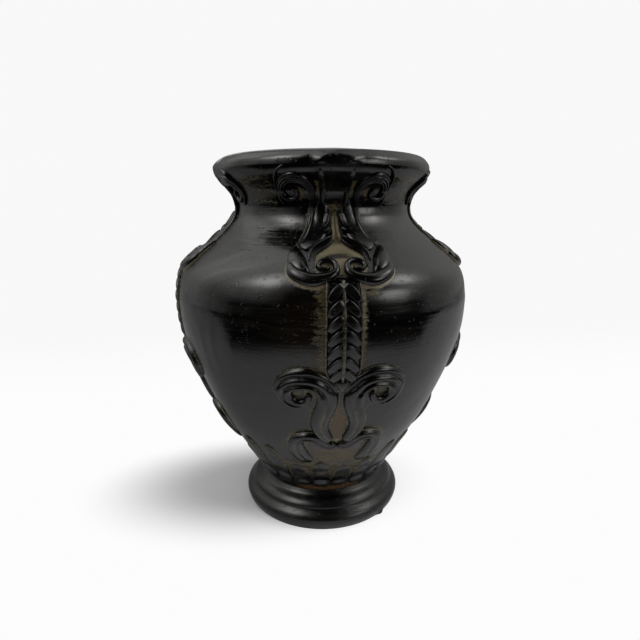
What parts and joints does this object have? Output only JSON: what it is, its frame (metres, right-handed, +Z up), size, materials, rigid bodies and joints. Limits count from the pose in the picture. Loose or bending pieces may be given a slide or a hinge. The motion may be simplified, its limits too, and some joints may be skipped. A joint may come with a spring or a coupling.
{
  "type": "footed urn vase",
  "caption": "Footed urn vase with a full belly, waisted neck and rolled lip, in dark glaze with relief panels of scrolls, rope arms and leaves; it stands on its foot and holds stems.",
  "frame": {"origin": "centre of the base, on the surface that the vase stands on", "axes": "+Z up along the axis of the pot; the front panel faces -Y, and the other panels face +X, +Y and -X"},
  "size_m": [0.2052, 0.2052, 0.2507],
  "materials": {
    "vessel_glaze": "satin black glaze with fine turning streaks",
    "relief_glaze": "satin black glaze, brown wash in the grooves",
    "petal_wash": "worn dark glaze with brown wash"
  },
  "bodies": {
    "root": {"foot_ring": "vessel_glaze", "body": "vessel_glaze", "neck_collar": "vessel_glaze", "rim_lip": "vessel_glaze", "short_petals": "petal_wash", "tall_petals": "petal_wash", "front_rim_boss": "relief_glaze", "front_neck_strap": "relief_glaze", "front_neck_scrolls": "relief_glaze", "front_shoulder_leaves": "relief_glaze", "front_rope_scrolls": "relief_glaze", "front_leaf_braid": "relief_glaze", "front_lyre_scrolls": "relief_glaze", "front_bracket_arms": "relief_glaze", "right_rim_boss": "relief_glaze", "right_neck_strap": "relief_glaze", "right_neck_scrolls": "relief_glaze", "right_shoulder_leaves": "relief_glaze", "right_rope_scrolls": "relief_glaze", "right_leaf_braid": "relief_glaze", "right_lyre_scrolls": "relief_glaze", "right_bracket_arms": "relief_glaze", "back_rim_boss": "relief_glaze", "back_neck_strap": "relief_glaze", "back_neck_scrolls": "relief_glaze", "back_shoulder_leaves": "relief_glaze", "back_rope_scrolls": "relief_glaze", "back_leaf_braid": "relief_glaze", "back_lyre_scrolls": "relief_glaze", "back_bracket_arms": "relief_glaze", "left_rim_boss": "relief_glaze", "left_neck_strap": "relief_glaze", "left_neck_scrolls": "relief_glaze", "left_shoulder_leaves": "relief_glaze", "left_rope_scrolls": "relief_glaze", "left_leaf_braid": "relief_glaze", "left_lyre_scrolls": "relief_glaze", "left_bracket_arms": "relief_glaze"}
  },
  "joints": []
}
